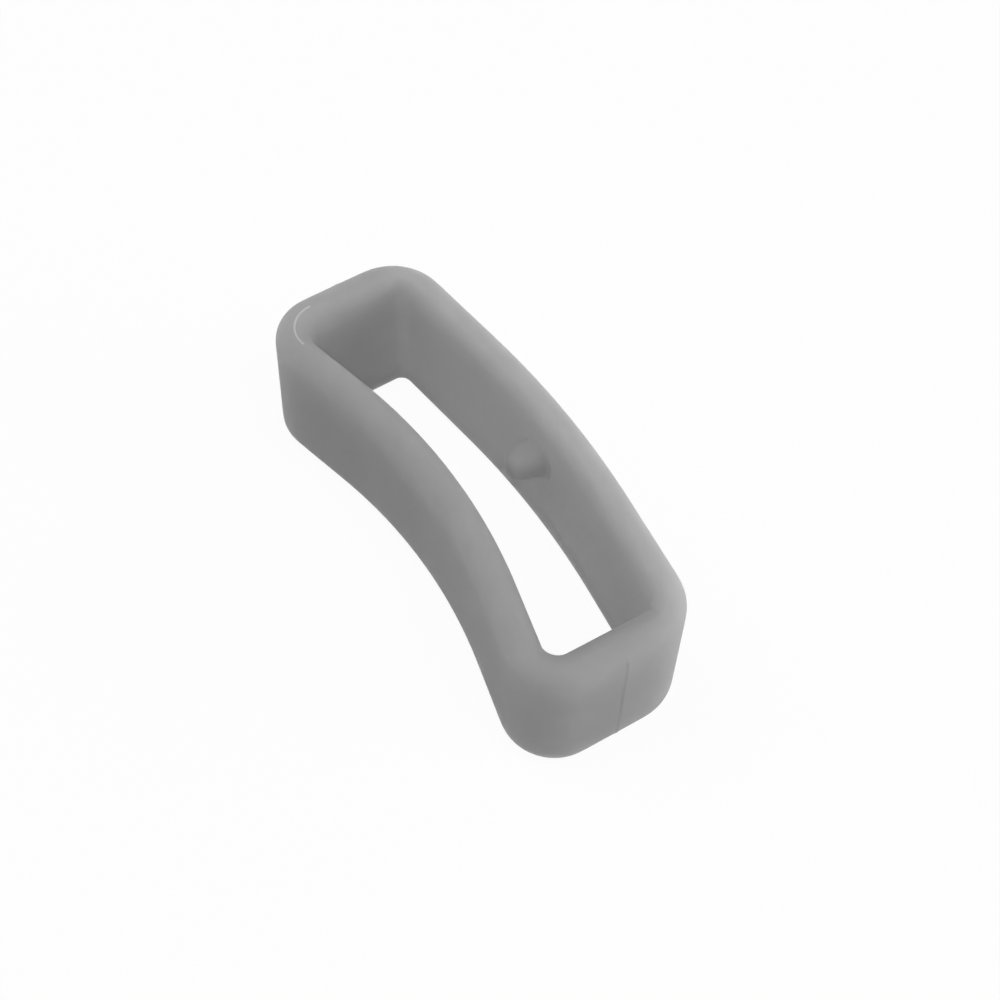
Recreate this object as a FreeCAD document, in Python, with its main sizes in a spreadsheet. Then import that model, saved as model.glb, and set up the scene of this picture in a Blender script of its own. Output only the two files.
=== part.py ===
import FreeCAD, Part
import math
import os
import Sketcher

# Strap keeper: one soft moulding, a curved loop that holds the loose end of a watch strap.
# X runs across the strap, Y from the wrist outwards and Z the way the strap slides through.
# The origin is the middle of the strap's way, level with the rim that the keeper stands on.

# Driving sizes in millimetres, with the lean and the nub's draft in degrees
driving_sizes = {
    "strap_width": 22.0,
    "side_clearance": 0.1,
    "strap_gap": 5.0,
    "keeper_depth": 7.8,
    "top_wall": 1.7,
    "under_wall": 1.8,
    "end_wall": 2.0,
    "end_lean": 1.1,
    "top_radius": 48.5,
    "top_arc_span": 11.7,
    "under_radius": 27.5,
    "under_arc_span": 13.0,
    "outer_corner_top": 3.05,
    "outer_corner_under": 2.65,
    "opening_corner_top": 0.55,
    "opening_corner_under": 0.65,
    "rim_round": 1.0,
    "rim_flat": 0.15,
    "lower_edge_round": 0.12,
    "nub_radius": 1.05,
    "nub_height": 1.75,
    "nub_draft": 10.0,
    "nub_rise": 0.95,
    "nub_tip_round": 0.6,
    "nub_root_round": 0.25,
}

# How near two places or directions are to count as the same
same_place = 1e-4
same_direction = 1e-6

# Expressions that the loop and its opening share
opening_half = "sizes.strap_width / 2 + sizes.side_clearance"
gap_half = "sizes.strap_gap / 2"
thinnest_wall = "min(sizes.top_wall; sizes.under_wall; sizes.end_wall)"
outer_round = f"min(sizes.rim_round; 0.6 * {thinnest_wall})"
opening_round = f"{thinnest_wall} - {outer_round} - sizes.rim_flat"
nub_tip_radius = "(sizes.nub_radius - sizes.nub_height * tan(sizes.nub_draft * 1 deg))"

outer_profile = {
    "top_level": f"{gap_half} + sizes.top_wall",
    "top_radius": "sizes.top_radius",
    "top_reach": "sizes.top_arc_span / 2",
    "under_level": f"{gap_half} + sizes.under_wall",
    "under_radius": "sizes.under_radius",
    "under_reach": "sizes.under_arc_span / 2",
    "half_width": f"{opening_half} + sizes.end_wall",
}
# The opening keeps both walls at an even thickness, so its arcs share the outer arcs' centres
opening_profile = {
    "top_level": gap_half,
    "top_radius": "sizes.top_radius - sizes.top_wall",
    "top_reach": "sizes.top_arc_span / 2 * (1 - sizes.top_wall / sizes.top_radius)",
    "under_level": gap_half,
    "under_radius": "sizes.under_radius + sizes.under_wall",
    "under_reach": "sizes.under_arc_span / 2 * (1 + sizes.under_wall / sizes.under_radius)",
    "half_width": opening_half,
}


def make_sheet(doc):
    sheet = doc.addObject("Spreadsheet::Sheet", "sizes")
    for row, (alias, value) in enumerate(driving_sizes.items(), start=1):
        sheet.set(f"A{row}", alias)
        sheet.set(f"B{row}", str(value))
        sheet.setAlias(f"B{row}", alias)
    doc.recompute()
    return sheet


def origin_plane(body, role):
    return next(plane for plane in body.Origin.OriginFeatures if plane.Role == role)


def new_sketch(body, name, role):
    sketch = body.newObject("Sketcher::SketchObject", name)
    sketch.AttachmentSupport = [(origin_plane(body, role), "")]
    sketch.MapMode = "FlatFace"
    return sketch


# Starting places for one profile, so that the solver opens on the right shape
def arc_end(reach, radius, level):
    drop = radius - math.sqrt(radius ** 2 - reach ** 2)
    return FreeCAD.Vector(reach, level - drop, 0)


def corner_after(end, reach, radius, half_width):
    slope = reach / math.sqrt(radius ** 2 - reach ** 2)
    return FreeCAD.Vector(half_width, end.y - (half_width - end.x) * slope, 0)


def mirrored(point):
    return FreeCAD.Vector(-point.x, point.y, point.z)


def add_arc(sketch, level, radius, right_end):
    circle = Part.Circle(FreeCAD.Vector(0, level - radius, 0), FreeCAD.Vector(0, 0, 1), radius)
    half_angle = math.asin(right_end.x / radius)
    arc = Part.ArcOfCircle(circle, math.pi / 2 - half_angle, math.pi / 2 + half_angle)
    return sketch.addGeometry(arc, False)


def add_line(sketch, start, end):
    return sketch.addGeometry(Part.LineSegment(start, end), False)


def bind(sketch, kind, places, start_value, expression):
    index = sketch.addConstraint(Sketcher.Constraint(kind, *places, start_value))
    sketch.setExpression(f"Constraints[{index}]", expression)


# A closed profile: two arcs that run on as straight tangents, and two straight ends
def draw_profile(sketch, profile):
    value = {name: sketch.evalExpression(text) for name, text in profile.items()}
    lean = sketch.evalExpression("sizes.end_lean")
    top_end = arc_end(value["top_reach"], value["top_radius"], value["top_level"])
    top_corner = corner_after(top_end, value["top_reach"], value["top_radius"], value["half_width"])
    under_end = arc_end(value["under_reach"], value["under_radius"], -value["under_level"])
    under_corner = corner_after(under_end, value["under_reach"], value["under_radius"],
                                value["half_width"])

    top = add_arc(sketch, value["top_level"], value["top_radius"], top_end)
    under = add_arc(sketch, -value["under_level"], value["under_radius"], under_end)
    top_right = add_line(sketch, top_end, top_corner)
    top_left = add_line(sketch, mirrored(top_end), mirrored(top_corner))
    under_right = add_line(sketch, under_end, under_corner)
    under_left = add_line(sketch, mirrored(under_end), mirrored(under_corner))
    right_end = add_line(sketch, under_corner, top_corner)
    left_end = add_line(sketch, mirrored(under_corner), mirrored(top_corner))

    for arc, right, left in ((top, top_right, top_left), (under, under_right, under_left)):
        sketch.addConstraint(Sketcher.Constraint("Tangent", arc, 1, right, 1))
        sketch.addConstraint(Sketcher.Constraint("Tangent", arc, 2, left, 1))
        sketch.addConstraint(Sketcher.Constraint("PointOnObject", arc, 3, -2))
        sketch.addConstraint(Sketcher.Constraint("Equal", right, left))
    for wall, end in ((under_right, right_end), (under_left, left_end)):
        sketch.addConstraint(Sketcher.Constraint("Coincident", wall, 2, end, 1))
    for wall, end in ((top_right, right_end), (top_left, left_end)):
        sketch.addConstraint(Sketcher.Constraint("Coincident", wall, 2, end, 2))

    bind(sketch, "Radius", (top,), value["top_radius"], profile["top_radius"])
    bind(sketch, "Radius", (under,), value["under_radius"], profile["under_radius"])
    bind(sketch, "DistanceY", (top, 3, -1, 1), value["top_radius"] - value["top_level"],
         f"{profile['top_radius']} - ({profile['top_level']})")
    bind(sketch, "DistanceY", (under, 3, -1, 1), value["under_radius"] + value["under_level"],
         f"{profile['under_radius']} + {profile['under_level']}")
    for arc, side in ((top, "top"), (under, "under")):
        reach = f"{side}_reach"
        bind(sketch, "DistanceX", (-1, 1, arc, 1), value[reach], profile[reach])
        bind(sketch, "DistanceX", (arc, 2, -1, 1), value[reach], profile[reach])
    bind(sketch, "DistanceX", (-1, 1, under_right, 2), value["half_width"], profile["half_width"])
    bind(sketch, "Angle", (right_end,), math.radians(90 - lean), "(90 - sizes.end_lean) * 1 deg")
    return {"top": (top_right, top_left), "under": (under_right, under_left)}


# Names of a feature's edges, found by their place because each feature numbers them anew
def edge_names(shape, wanted):
    return [f"Edge{number}" for number, edge in enumerate(shape.Edges, start=1) if wanted(edge)]


def corner_edges(shape, sketch, walls):
    corners = [sketch.getPoint(wall, 2) for wall in walls]

    def stands_on(edge, corner):
        ends = [vertex.Point for vertex in edge.Vertexes]
        return all(math.hypot(end.x - corner.x, end.y - corner.y) < same_place for end in ends)

    return edge_names(shape, lambda edge: any(stands_on(edge, corner) for corner in corners))


def rim_edges(shape, outside, directions):
    rims = [face for face in shape.Faces for direction in directions
            if face.normalAt(0, 0).z * direction > 1 - same_direction]
    edges = []
    for face in rims:
        for wire in face.Wires:
            if wire.isSame(face.OuterWire) == outside:
                edges.extend(wire.Edges)
    return edge_names(shape, lambda edge: any(edge.isSame(other) for other in edges))


def nub_edges(shape, at_tip):
    cone_faces = [face for face in shape.Faces if isinstance(face.Surface, Part.Cone)]
    sides = [face for face in cone_faces if abs(face.Surface.Axis.y) > 1 - same_direction]
    loops = [edge for face in sides for edge in face.Edges if edge.isClosed()]
    loops.sort(key=lambda edge: edge.CenterOfMass.y)
    wanted = loops[0] if at_tip else loops[-1]
    return edge_names(shape, lambda edge: edge.isSame(wanted))


def round_edges(body, name, names, expression):
    base = body.Tip
    fillet = body.newObject("PartDesign::Fillet", name)
    fillet.Base = (base, names)
    fillet.setExpression("Radius", expression)
    body.Document.recompute()


def main():
    doc = FreeCAD.newDocument("strap_keeper")
    make_sheet(doc)
    body = doc.addObject("PartDesign::Body", "keeper_loop")
    body.Label = "keeper_loop"

    # The loop's outside, standing on its rim
    outline = new_sketch(body, "outline", "XY_Plane")
    outer_corners = draw_profile(outline, outer_profile)
    loop = body.newObject("PartDesign::Pad", "loop")
    loop.Profile = outline
    loop.setExpression("Length", "sizes.keeper_depth")
    doc.recompute()

    # The way through for both strap layers
    opening = new_sketch(body, "opening", "XY_Plane")
    opening_corners = draw_profile(opening, opening_profile)
    passage = body.newObject("PartDesign::Pocket", "passage")
    passage.Profile = opening
    passage.Type = "ThroughAll"
    passage.Reversed = True
    doc.recompute()

    # Corners, outside and in the opening
    corner_rounds = (
        ("outer_top_corners", outline, outer_corners["top"], "sizes.outer_corner_top"),
        ("outer_under_corners", outline, outer_corners["under"], "sizes.outer_corner_under"),
        ("opening_top_corners", opening, opening_corners["top"], "sizes.opening_corner_top"),
        ("opening_under_corners", opening, opening_corners["under"], "sizes.opening_corner_under"),
    )
    for name, sketch, walls, expression in corner_rounds:
        round_edges(body, name, corner_edges(body.Shape, sketch, walls), expression)

    # The upper rim is rounded over to a thin flat, and the lower one keeps a flat to stand on
    round_edges(body, "outer_rims", rim_edges(body.Shape, True, (1, -1)), outer_round)
    round_edges(body, "upper_opening_rim", rim_edges(body.Shape, False, (1,)), opening_round)
    round_edges(body, "lower_opening_rim", rim_edges(body.Shape, False, (-1,)),
                f"min(sizes.lower_edge_round; {opening_round})")

    # The nub under the top wall, which drops into a strap hole, widening from its tip to the wall
    nub_sketch = new_sketch(body, "nub_tip_circle", "XZ_Plane")
    middle = FreeCAD.Vector(0, driving_sizes["keeper_depth"] / 2 + driving_sizes["nub_rise"], 0)
    up = FreeCAD.Vector(0, 0, 1)
    tip_radius = nub_sketch.evalExpression(nub_tip_radius)
    circle = nub_sketch.addGeometry(Part.Circle(middle, up, tip_radius), False)
    bind(nub_sketch, "Radius", (circle,), tip_radius, nub_tip_radius)
    nub_sketch.addConstraint(Sketcher.Constraint("PointOnObject", circle, 3, -2))
    bind(nub_sketch, "DistanceY", (-1, 1, circle, 3), middle.y, "sizes.keeper_depth / 2 + sizes.nub_rise")
    nub_sketch.setExpression("AttachmentOffset.Base.z", f"sizes.nub_height - {gap_half}")
    nub = body.newObject("PartDesign::Pad", "nub")
    nub.Profile = nub_sketch
    nub.Reversed = True
    nub.setExpression("Length", "sizes.nub_height + sizes.top_wall / 2")
    nub.setExpression("TaperAngle", "sizes.nub_draft * 1 deg")
    doc.recompute()
    round_edges(body, "nub_root", nub_edges(body.Shape, False),
                "min(sizes.nub_root_round; 0.3 * sizes.nub_height)")
    round_edges(body, "nub_tip", nub_edges(body.Shape, True),
                f"min(sizes.nub_tip_round; 0.8 * {nub_tip_radius})")

    faults = [item.Name for item in doc.Objects if {"Invalid", "Error"} & set(item.State)]
    if faults:
        raise RuntimeError(f"features failed: {faults}")
    os.makedirs("parts", exist_ok=True)
    for item in doc.findObjects("PartDesign::Body"):
        if item.Shape.isNull() or not item.Shape.isValid():
            raise RuntimeError(f"{item.Label} has no sound shape")
        item.Shape.exportStep(f"parts/{item.Label}.step")
        box = item.Shape.optimalBoundingBox()
        print(item.Label, len(item.Shape.Solids), "solid", round(item.Shape.Volume, 3), "mm3", box)


main()
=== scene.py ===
import bmesh
import bpy
import math
from mathutils import Matrix, Vector


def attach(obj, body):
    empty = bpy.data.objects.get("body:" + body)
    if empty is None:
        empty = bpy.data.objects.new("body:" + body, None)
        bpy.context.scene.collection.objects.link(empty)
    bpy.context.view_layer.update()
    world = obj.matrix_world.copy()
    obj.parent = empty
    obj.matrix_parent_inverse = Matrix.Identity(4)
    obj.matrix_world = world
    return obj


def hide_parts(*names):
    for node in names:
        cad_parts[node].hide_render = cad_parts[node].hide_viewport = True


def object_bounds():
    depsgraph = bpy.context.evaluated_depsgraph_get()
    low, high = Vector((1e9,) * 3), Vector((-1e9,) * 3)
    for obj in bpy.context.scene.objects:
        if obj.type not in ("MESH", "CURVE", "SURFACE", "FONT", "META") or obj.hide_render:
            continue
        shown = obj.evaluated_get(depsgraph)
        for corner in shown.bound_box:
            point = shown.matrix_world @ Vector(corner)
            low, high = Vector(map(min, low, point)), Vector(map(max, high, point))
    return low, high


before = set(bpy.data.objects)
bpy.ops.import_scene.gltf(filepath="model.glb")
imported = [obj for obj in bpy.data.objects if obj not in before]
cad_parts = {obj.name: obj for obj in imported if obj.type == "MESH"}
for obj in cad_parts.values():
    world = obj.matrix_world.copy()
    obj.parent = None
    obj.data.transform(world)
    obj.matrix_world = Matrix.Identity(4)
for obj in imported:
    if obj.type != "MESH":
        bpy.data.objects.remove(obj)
cadLow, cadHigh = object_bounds()
mm = 0.001
tiny = 0.0001 * mm
# corners closer than this are one place
close = 0.01 * mm
print("frame loaded, box in mm:", [round(value / mm, 2) for value in (*cadLow, *cadHigh)])


# Selecting by place, always starting from nothing selected

def deselectAll():
    if bpy.context.mode != "OBJECT":
        bpy.ops.object.mode_set(mode="OBJECT")
    bpy.ops.object.select_all(action="DESELECT")


def pick(kind, wanted):
    # kind is VERT, EDGE or FACE
    bpy.ops.mesh.select_mode(type=kind)
    bpy.ops.mesh.select_all(action="DESELECT")
    mesh = bmesh.from_edit_mesh(bpy.context.edit_object.data)
    for part in {"VERT": mesh.verts, "EDGE": mesh.edges, "FACE": mesh.faces}[kind]:
        if wanted(part):
            part.select_set(True)
    mesh.select_flush_mode()
    bmesh.update_edit_mesh(bpy.context.edit_object.data)


def applyModifier(piece, name, kind, **settings):
    modifier = piece.modifiers.new(name, kind)
    for key, value in settings.items():
        setattr(modifier, key, value)
    bpy.ops.object.modifier_apply(modifier=modifier.name)


# The loop is two upright bands, one round the outside and one round the opening,
# joined at both rims. Each band is grown from an upright edge in the middle of
# the top wall, round one end, and mirrored.

outerBand = {
    "topLevel": cadHigh.y, "topRadius": 48.5 * mm, "topReach": 5.85 * mm,
    "underLevel": -4.3 * mm, "underRadius": 27.5 * mm, "underReach": 6.5 * mm,
    "halfWidth": 13.1 * mm, "topCorner": 3.05 * mm, "underCorner": 2.65 * mm,
}
openingBand = {
    "topLevel": 2.5 * mm, "topRadius": 46.8 * mm, "topReach": 5.645 * mm,
    "underLevel": -2.5 * mm, "underRadius": 29.3 * mm, "underReach": 6.925 * mm,
    "halfWidth": 11.1 * mm, "topCorner": 0.55 * mm, "underCorner": 0.65 * mm,
}
loop = {
    "depth": cadHigh.z - cadLow.z, "endLean": math.radians(1.1),
    # the rims: the outer round, the opening's lower edge, and the opening's upper round,
    # which takes a share in percent of the rim's width and of the wall's top band
    "outerRound": 1.0 * mm, "roundSteps": 7, "lowerEdge": 0.12 * mm, "lowerEdgeSteps": 3,
    "openingShare": 94,
    # bands up the opening's wall and rows of faces, and the shares of a full height
    # above which an edge still runs the whole way
    "bands": 6, "rowsPerBand": 3, "rows": 12, "fullHeight": 0.9, "fullBand": 0.8,
    "topSteps": 10, "topRun": 8, "topCornerSteps": 12, "endSteps": 4,
    "underCornerSteps": 12, "underRun": 7, "underSteps": 12,
    "partingLevel": -1.42 * mm, "partingHalf": 0.1 * mm, "partingHeight": 0.045 * mm,
    "partingBeyond": 1.2 * mm,
}


def run(steps, offset):
    step = (offset.x / steps, offset.y / steps, 0)
    for _ in range(steps):
        bpy.ops.mesh.extrude_edges_move(TRANSFORM_OT_translate={"value": step})


def turn(steps, clockwise, centre):
    bpy.ops.mesh.spin(steps=steps, angle=clockwise, center=(centre.x, centre.y, 0),
                      axis=(0, 0, 1))


def growHalf(band):
    # where each wall's arc ends and its straight tangent starts
    topAngle = math.asin(band["topReach"] / band["topRadius"])
    underAngle = math.asin(band["underReach"] / band["underRadius"])
    topCentre = Vector((0, band["topLevel"] - band["topRadius"]))
    underCentre = Vector((0, band["underLevel"] - band["underRadius"]))
    topOut = Vector((math.sin(topAngle), math.cos(topAngle)))
    underOut = Vector((math.sin(underAngle), math.cos(underAngle)))
    topEnd = topCentre + band["topRadius"] * topOut
    underEnd = underCentre + band["underRadius"] * underOut

    # the sharp corners where the tangents meet the leaning end, and the arcs that round them
    alongTop = Vector((math.cos(topAngle), -math.sin(topAngle)))
    alongUnder = Vector((math.cos(underAngle), -math.sin(underAngle)))
    upEnd = Vector((math.sin(loop["endLean"]), math.cos(loop["endLean"])))
    underPoint = underEnd + alongUnder * (band["halfWidth"] - underEnd.x) / alongUnder.x
    topPoint = underPoint + upEnd * (topEnd - underPoint).cross(alongTop) / upEnd.cross(alongTop)
    topTurn = upEnd.angle(-alongTop)
    underTurn = upEnd.angle(alongUnder)
    topCut = band["topCorner"] * math.tan(topTurn / 2)
    underCut = band["underCorner"] * math.tan(underTurn / 2)
    topArcStart = topPoint - alongTop * topCut
    endTop = topPoint - upEnd * topCut
    endUnder = underPoint + upEnd * underCut
    underArcEnd = underPoint - alongUnder * underCut
    inTop = Vector((alongTop.y, -alongTop.x))
    inEnd = Vector((-upEnd.y, upEnd.x))

    # the start: the new plane's upright edge in the top's middle, the rest of it deleted
    bpy.ops.mesh.select_all(action="DESELECT")
    half = loop["depth"] / 2
    bpy.ops.mesh.primitive_plane_add(size=loop["depth"], rotation=(math.pi / 2, 0, 0),
                                     location=(-half, band["topLevel"], half))
    pick("VERT", lambda vertex: vertex.co.x < -half)
    bpy.ops.mesh.delete(type="VERT")
    pick("VERT", lambda vertex: abs(vertex.co.x) < tiny
         and abs(vertex.co.y - band["topLevel"]) < tiny)

    turn(loop["topSteps"], topAngle, topCentre)
    run(loop["topRun"], topArcStart - topEnd)
    turn(loop["topCornerSteps"], topTurn, topArcStart + inTop * band["topCorner"])
    # the end has one narrow step on each side of its parting line
    parting = endTop + upEnd * (loop["partingLevel"] - endTop.y) / upEnd.y
    beside = upEnd * loop["partingHalf"]
    run(loop["endSteps"], parting + beside - endTop)
    run(2, -2 * beside)
    run(loop["endSteps"], endUnder - parting + beside)
    turn(loop["underCornerSteps"], underTurn, endUnder + inEnd * band["underCorner"])
    run(loop["underRun"], underEnd - underArcEnd)
    turn(loop["underSteps"], -underAngle, underCentre)


def isRimEdge(edge):
    first, second = (vertex.co.z for vertex in edge.verts)
    return abs(first - second) < tiny and min(abs(first), abs(first - loop["depth"])) < tiny


def growBand(band, markRims):
    # the new band is the only one with unmarked rims
    growHalf(band)
    pick("EDGE", lambda edge: isRimEdge(edge) and edge.smooth and not edge.seam)
    markRims()


def makeLoop():
    deselectAll()
    bpy.ops.mesh.primitive_plane_add(size=loop["depth"])
    piece = bpy.context.object
    piece.name = "keeperLoop"
    bpy.ops.object.mode_set(mode="EDIT")
    bpy.ops.mesh.delete(type="VERT")
    growBand(outerBand, bpy.ops.mesh.mark_seam)
    growBand(openingBand, bpy.ops.mesh.mark_sharp)
    for level in (0, loop["depth"]):
        pick("EDGE", lambda edge: isRimEdge(edge) and abs(edge.verts[0].co.z - level) < tiny)
        bpy.ops.mesh.bridge_edge_loops()
    bpy.ops.object.mode_set(mode="OBJECT")
    applyModifier(piece, "otherHalf", "MIRROR", merge_threshold=close)
    bpy.ops.object.mode_set(mode="EDIT")
    bpy.ops.mesh.select_all(action="SELECT")
    bpy.ops.mesh.normals_make_consistent(inside=False)

    # the outer rims get an even round
    pick("EDGE", lambda edge: edge.seam)
    bpy.ops.mesh.bevel(offset=loop["outerRound"], segments=loop["roundSteps"],
                       affect="EDGES", clamp_overlap=False)
    # the opening's lower rim is almost sharp, the upper one is rounded deeper than wide
    pick("EDGE", lambda edge: not edge.smooth and edge.verts[0].co.z < loop["depth"] / 2)
    bpy.ops.mesh.bevel(offset=loop["lowerEdge"], segments=loop["lowerEdgeSteps"],
                       affect="EDGES", clamp_overlap=False)
    pick("EDGE", lambda edge: edge.calc_length() > loop["fullHeight"] * loop["depth"])
    bpy.ops.mesh.subdivide(number_cuts=loop["bands"] - 1)
    pick("EDGE", lambda edge: not edge.smooth and edge.verts[0].co.z > loop["depth"] / 2)
    bpy.ops.mesh.bevel(offset_type="PERCENT", offset_pct=loop["openingShare"],
                       segments=loop["roundSteps"], affect="EDGES", clamp_overlap=False)
    bpy.ops.mesh.select_all(action="SELECT")
    bpy.ops.mesh.mark_seam(clear=True)
    bpy.ops.mesh.mark_sharp(clear=True)
    # rows of faces up both walls
    pick("EDGE", lambda edge: edge.calc_length() > loop["depth"] / 2)
    bpy.ops.mesh.subdivide(number_cuts=loop["rows"] - 1)
    pick("EDGE", lambda edge: edge.calc_length() > loop["fullBand"] * loop["depth"] / loop["bands"]
         and abs(edge.verts[0].co.x - edge.verts[1].co.x) < tiny)
    bpy.ops.mesh.subdivide(number_cuts=loop["rowsPerBand"] - 1)
    bpy.ops.object.mode_set(mode="OBJECT")
    print("loop closed:", len(piece.data.polygons), "faces")
    return piece


def raiseParting(piece):
    # the low ridge where the mould halves met, up the middle of both ends
    bpy.ops.object.mode_set(mode="EDIT")
    for side in (-1, 1):
        pick("VERT", lambda vertex:
             vertex.co.x * side > openingBand["halfWidth"] + loop["partingBeyond"]
             and abs(vertex.co.y - loop["partingLevel"]) < close)
        bpy.ops.transform.translate(value=(side * loop["partingHeight"], 0, 0))
    bpy.ops.object.mode_set(mode="OBJECT")


# The nub inside the top wall, drawn out of the wall's own faces

nub = {
    "level": 4.85 * mm, "columns": 3, "rowsFrom": 3.4 * mm, "rowsTo": 6.3 * mm,
    "margin": 0.15 * mm, "facing": 0.9, "smoothShare": 0.5, "smoothRounds": 60,
    # radius and height above the wall, in mm, from the root to the tip
    "rings": ((1.32, 0.0), (1.17, 0.04), (1.07, 0.14), (1.0, 0.32), (0.93, 0.7),
              (0.85, 1.05), (0.75, 1.33), (0.61, 1.54), (0.42, 1.67), (0.2, 1.73)),
}


def drawNub(piece):
    columnStep = openingBand["topReach"] / loop["topSteps"]
    reach = (nub["columns"] - 0.5) * columnStep
    level = nub["level"]

    def onTopWall(face):
        place = face.calc_center_median()
        near = abs(place.x) < reach + tiny and nub["rowsFrom"] < place.z < nub["rowsTo"]
        inTop = 0 < place.y < openingBand["topLevel"] + tiny
        return near and inTop and face.normal.y < -nub["facing"]

    bpy.ops.object.mode_set(mode="EDIT")
    pick("FACE", onTopWall)
    bpy.ops.mesh.inset(thickness=nub["margin"])
    mesh = bmesh.from_edit_mesh(piece.data)
    chosen = [face for face in mesh.faces if face.select]
    faceNumbers = {face.index for face in chosen}
    corners = {vertex for face in chosen for vertex in face.verts}
    rim = {vertex for vertex in corners if any(not face.select for face in vertex.link_faces)}
    inner = {vertex.index for vertex in corners - rim}
    print("nub starts from", len(chosen), "faces with", len(rim), "corners round them")

    # the patch's border becomes the root's circle on the wall, and the rest evens out inside it
    wallCentre = openingBand["topLevel"] - openingBand["topRadius"]
    radius = nub["rings"][0][0] * mm
    for vertex in rim:
        angle = math.atan2(vertex.co.z - level, vertex.co.x)
        vertex.co.x = radius * math.cos(angle)
        vertex.co.z = level + radius * math.sin(angle)
        vertex.co.y = wallCentre + math.sqrt(openingBand["topRadius"] ** 2 - vertex.co.x ** 2)
    bmesh.update_edit_mesh(piece.data)
    pick("VERT", lambda vertex: vertex.index in inner)
    bpy.ops.mesh.vertices_smooth(factor=nub["smoothShare"], repeat=nub["smoothRounds"],
                                 xaxis=True, yaxis=True, zaxis=True)
    pick("FACE", lambda face: face.index in faceNumbers)
    before = nub["rings"][0]
    for ring in nub["rings"][1:]:
        rise = (before[1] - ring[1]) * mm
        bpy.ops.mesh.extrude_region_move(TRANSFORM_OT_translate={"value": (0, rise, 0)})
        scale = ring[0] / before[0]
        bpy.ops.transform.resize(value=(scale, 1, scale), center_override=(0, 0, level))
        before = ring
    bpy.ops.object.mode_set(mode="OBJECT")


# Painted light at the mould's traces: a painted highlight along the crest of the rim where its
# flash line catches light, and painted shade on the parting ridge's shaded side

traceHighlightAndShade = {
    "crestDepth": 0.02 * mm, "flashHighlightLow": Vector((-12.6, -5.6)) * mm,
    "flashHighlightHigh": Vector((-10.1, -3.4)) * mm, "flashHighlightSlot": 1,
    "shadeBeyond": 1.0 * mm, "shadeBelowRim": 0.6 * mm, "partingShadeSlot": 2,
}


def paintTraceHighlightAndShade(piece):
    crest = loop["depth"] - traceHighlightAndShade["crestDepth"]
    bpy.ops.object.mode_set(mode="EDIT")
    low, high = traceHighlightAndShade["flashHighlightLow"], traceHighlightAndShade["flashHighlightHigh"]

    def onFlashHighlight(face):
        place = face.calc_center_median()
        inBox = low.x < place.x < high.x and low.y < place.y < high.y
        return inBox and min(vertex.co.z for vertex in face.verts) > crest

    # painted highlight: the crest faces along the flash line get a lighter tone, standing in for
    # the light caught by the raised flash
    pick("FACE", onFlashHighlight)
    print("flash faces", sum(face.select for face in bmesh.from_edit_mesh(piece.data).faces))
    piece.active_material_index = traceHighlightAndShade["flashHighlightSlot"]
    bpy.ops.object.material_slot_assign()
    side = loop["partingHalf"]

    def onPartingShade(face):
        place = face.calc_center_median()
        outside = abs(place.x) > openingBand["halfWidth"] + traceHighlightAndShade["shadeBeyond"]
        below = place.z < loop["depth"] - traceHighlightAndShade["shadeBelowRim"]
        return outside and below and loop["partingLevel"] - side < place.y < loop["partingLevel"]

    # painted shade: the faces on one side of the parting ridge get a darker tone, standing in for
    # the shade on the ridge's flank
    pick("FACE", onPartingShade)
    piece.active_material_index = traceHighlightAndShade["partingShadeSlot"]
    bpy.ops.object.material_slot_assign()
    bpy.ops.object.mode_set(mode="OBJECT")


def finishLoop(piece):
    applyModifier(piece, "smoother", "SUBSURF", levels=1, render_levels=1)
    deselectAll()
    piece.select_set(True)
    bpy.context.view_layer.objects.active = piece
    bpy.ops.object.shade_smooth()
    # large faces decide the shading, so that a wall stays even up to its rims
    applyModifier(piece, "evenWalls", "WEIGHTED_NORMAL")
    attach(piece, "root")
    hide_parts("keeper_loop")
    print("loop finished:", len(piece.data.polygons), "faces")


# Materials

silicone = {
    "roughness": 0.7, "roughnessSpread": 0.08, "scatterDepth": 12 * mm,
    "cloudSize": 1.6 * mm, "cloudDetail": 3, "cloudLow": 0.3, "cloudHigh": 0.7,
    "cloudSpread": 0.035, "grainSize": 0.09 * mm, "grainHeight": 0.003 * mm,
    # the lighter tone is a painted highlight on the rim's flash line, the darker one is painted
    # shade on one side of the parting ridge
    "tones": {"greySilicone": 0.28, "flashHighlightSilicone": 0.42, "partingShadeSilicone": 0.245},
}


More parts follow.
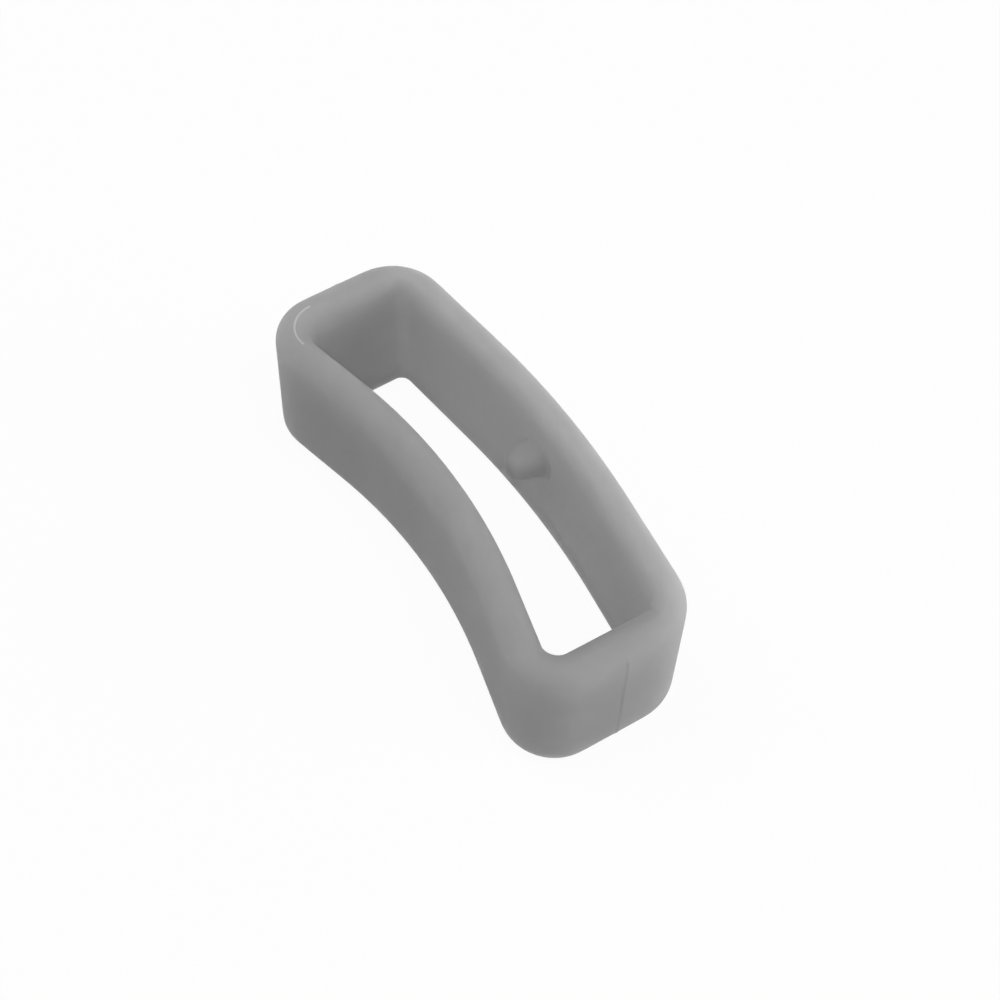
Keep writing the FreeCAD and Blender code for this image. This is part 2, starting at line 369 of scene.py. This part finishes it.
def makeSilicone(name, tone):
    material = bpy.data.materials.new(name)
    material.use_nodes = True
    nodes = material.node_tree.nodes
    links = material.node_tree.links
    shader = nodes["Principled BSDF"]
    shader.inputs["Subsurface Weight"].default_value = 1
    shader.inputs["Subsurface Radius"].default_value = (1, 1, 1)
    shader.inputs["Subsurface Scale"].default_value = silicone["scatterDepth"]
    place = nodes.new("ShaderNodeTexCoord")

    # cloudy unevenness of the tone, and of the sheen
    clouds = nodes.new("ShaderNodeTexNoise")
    clouds.inputs["Scale"].default_value = 1 / silicone["cloudSize"]
    clouds.inputs["Detail"].default_value = silicone["cloudDetail"]
    links.new(place.outputs["Object"], clouds.inputs["Vector"])
    for socket, middle, spread in (
            ("Base Color", tone, silicone["cloudSpread"]),
            ("Roughness", silicone["roughness"], silicone["roughnessSpread"])):
        level = nodes.new("ShaderNodeMapRange")
        level.inputs["From Min"].default_value = silicone["cloudLow"]
        level.inputs["From Max"].default_value = silicone["cloudHigh"]
        level.inputs["To Min"].default_value = middle * (1 - spread)
        level.inputs["To Max"].default_value = middle * (1 + spread)
        links.new(clouds.outputs["Fac"], level.inputs["Value"])
        links.new(level.outputs["Result"], shader.inputs[socket])

    # the mould's fine grain
    grain = nodes.new("ShaderNodeTexNoise")
    grain.inputs["Scale"].default_value = 1 / silicone["grainSize"]
    links.new(place.outputs["Object"], grain.inputs["Vector"])
    bump = nodes.new("ShaderNodeBump")
    bump.inputs["Distance"].default_value = silicone["grainHeight"]
    links.new(grain.outputs["Fac"], bump.inputs["Height"])
    links.new(bump.outputs["Normal"], shader.inputs["Normal"])
    return material


# Camera, light and floor

camera = {
    "azimuth": 54.564, "elevation": 54.755, "roll": 3.141, "distance": 91.98 * mm,
    "target": Vector((0.220, 0.226, 3.0)) * mm, "focalPixels": 1835.42,
    "imagePixels": 1000, "sensor": 36, "clipNear": 1 * mm, "clipFar": 10,
}


def placeCamera():
    azimuth, elevation, roll = (
        math.radians(camera[key]) for key in ("azimuth", "elevation", "roll"))
    back = Vector((math.sin(azimuth) * math.cos(elevation),
                   -math.cos(azimuth) * math.cos(elevation), math.sin(elevation)))
    data = bpy.data.cameras.new("photoCamera")
    data.sensor_width = camera["sensor"]
    data.lens = camera["sensor"] * camera["focalPixels"] / camera["imagePixels"]
    data.clip_start = camera["clipNear"]
    data.clip_end = camera["clipFar"]
    holder = bpy.data.objects.new("photoCamera", data)
    bpy.context.scene.collection.objects.link(holder)
    aimed = (-back).to_track_quat("-Z", "Y").to_matrix().to_4x4()
    place = Matrix.Translation(camera["target"] + back * camera["distance"])
    holder.matrix_world = place @ (aimed @ Matrix.Rotation(roll, 4, "Z"))
    bpy.context.scene.camera = holder


lights = {
    "highRight": {"azimuth": 0, "elevation": 65, "watts": 0.74},
    "highLeft": {"azimuth": 225, "elevation": 65, "watts": 0.48},
    "left": {"azimuth": 225, "elevation": 35, "watts": 0.12},
    "lowLeft": {"azimuth": 225, "elevation": 10, "watts": 0.16},
    "lowBackRight": {"azimuth": 45, "elevation": 10, "watts": 0.73},
    "lowBack": {"azimuth": 98, "elevation": 10, "watts": 0.47},
}
lightDistance = 400 * mm
lightSize = 300 * mm
worldLevel = 0.02


def placeLights():
    for name, light in lights.items():
        data = bpy.data.lights.new(name, "AREA")
        data.shape = "DISK"
        data.size = lightSize
        data.energy = light["watts"]
        holder = bpy.data.objects.new(name, data)
        azimuth, elevation = math.radians(light["azimuth"]), math.radians(light["elevation"])
        direction = Vector((math.cos(azimuth) * math.cos(elevation),
                            math.sin(azimuth) * math.cos(elevation), math.sin(elevation)))
        holder.location = direction * lightDistance
        holder.rotation_mode = "QUATERNION"
        holder.rotation_quaternion = direction.to_track_quat("Z", "Y")
        bpy.context.scene.collection.objects.link(holder)
    world = bpy.data.worlds.new("studio")
    world.use_nodes = True
    nodes = world.node_tree.nodes
    links = world.node_tree.links
    rays = nodes.new("ShaderNodeLightPath")
    level = nodes.new("ShaderNodeMapRange")
    level.inputs["To Min"].default_value = worldLevel
    level.inputs["To Max"].default_value = 1
    links.new(rays.outputs["Is Camera Ray"], level.inputs["Value"])
    links.new(level.outputs["Result"], nodes["Background"].inputs["Strength"])
    nodes["Background"].inputs["Color"].default_value = (1, 1, 1, 1)
    bpy.context.scene.world = world


# The loop hovers above the floor by a small gap. A floor that touches the rim draws
# a dark line along the opening's lower edge, because light scatters deep in the loop.
ground = {"gap": 0.35 * mm, "size": 2, "tone": 0.9, "glowShare": 0.95}


def makeFloor():
    deselectAll()
    bpy.ops.mesh.primitive_plane_add(size=ground["size"], location=(0, 0, -ground["gap"]))
    floor = bpy.context.object
    floor.name = "floor"
    material = bpy.data.materials.new("paleFloor")
    material.use_nodes = True
    nodes = material.node_tree.nodes
    links = material.node_tree.links
    nodes.clear()
    output = nodes.new("ShaderNodeOutputMaterial")
    matte = nodes.new("ShaderNodeBsdfDiffuse")
    matte.inputs["Color"].default_value = (*[ground["tone"]] * 3, 1)
    glow = nodes.new("ShaderNodeEmission")
    mix = nodes.new("ShaderNodeMixShader")
    rays = nodes.new("ShaderNodeLightPath")
    share = nodes.new("ShaderNodeMath")
    share.operation = "MULTIPLY"
    share.inputs[1].default_value = ground["glowShare"]
    links.new(rays.outputs["Is Camera Ray"], share.inputs[0])
    links.new(share.outputs[0], mix.inputs["Fac"])
    links.new(matte.outputs[0], mix.inputs[1])
    links.new(glow.outputs[0], mix.inputs[2])
    links.new(mix.outputs[0], output.inputs["Surface"])
    floor.data.materials.append(material)


keeper = makeLoop()
raiseParting(keeper)
drawNub(keeper)
for materialName, materialTone in silicone["tones"].items():
    keeper.data.materials.append(makeSilicone(materialName, materialTone))
paintTraceHighlightAndShade(keeper)
finishLoop(keeper)
placeCamera()
placeLights()
makeFloor()
bpy.context.scene.view_settings.view_transform = "Standard"
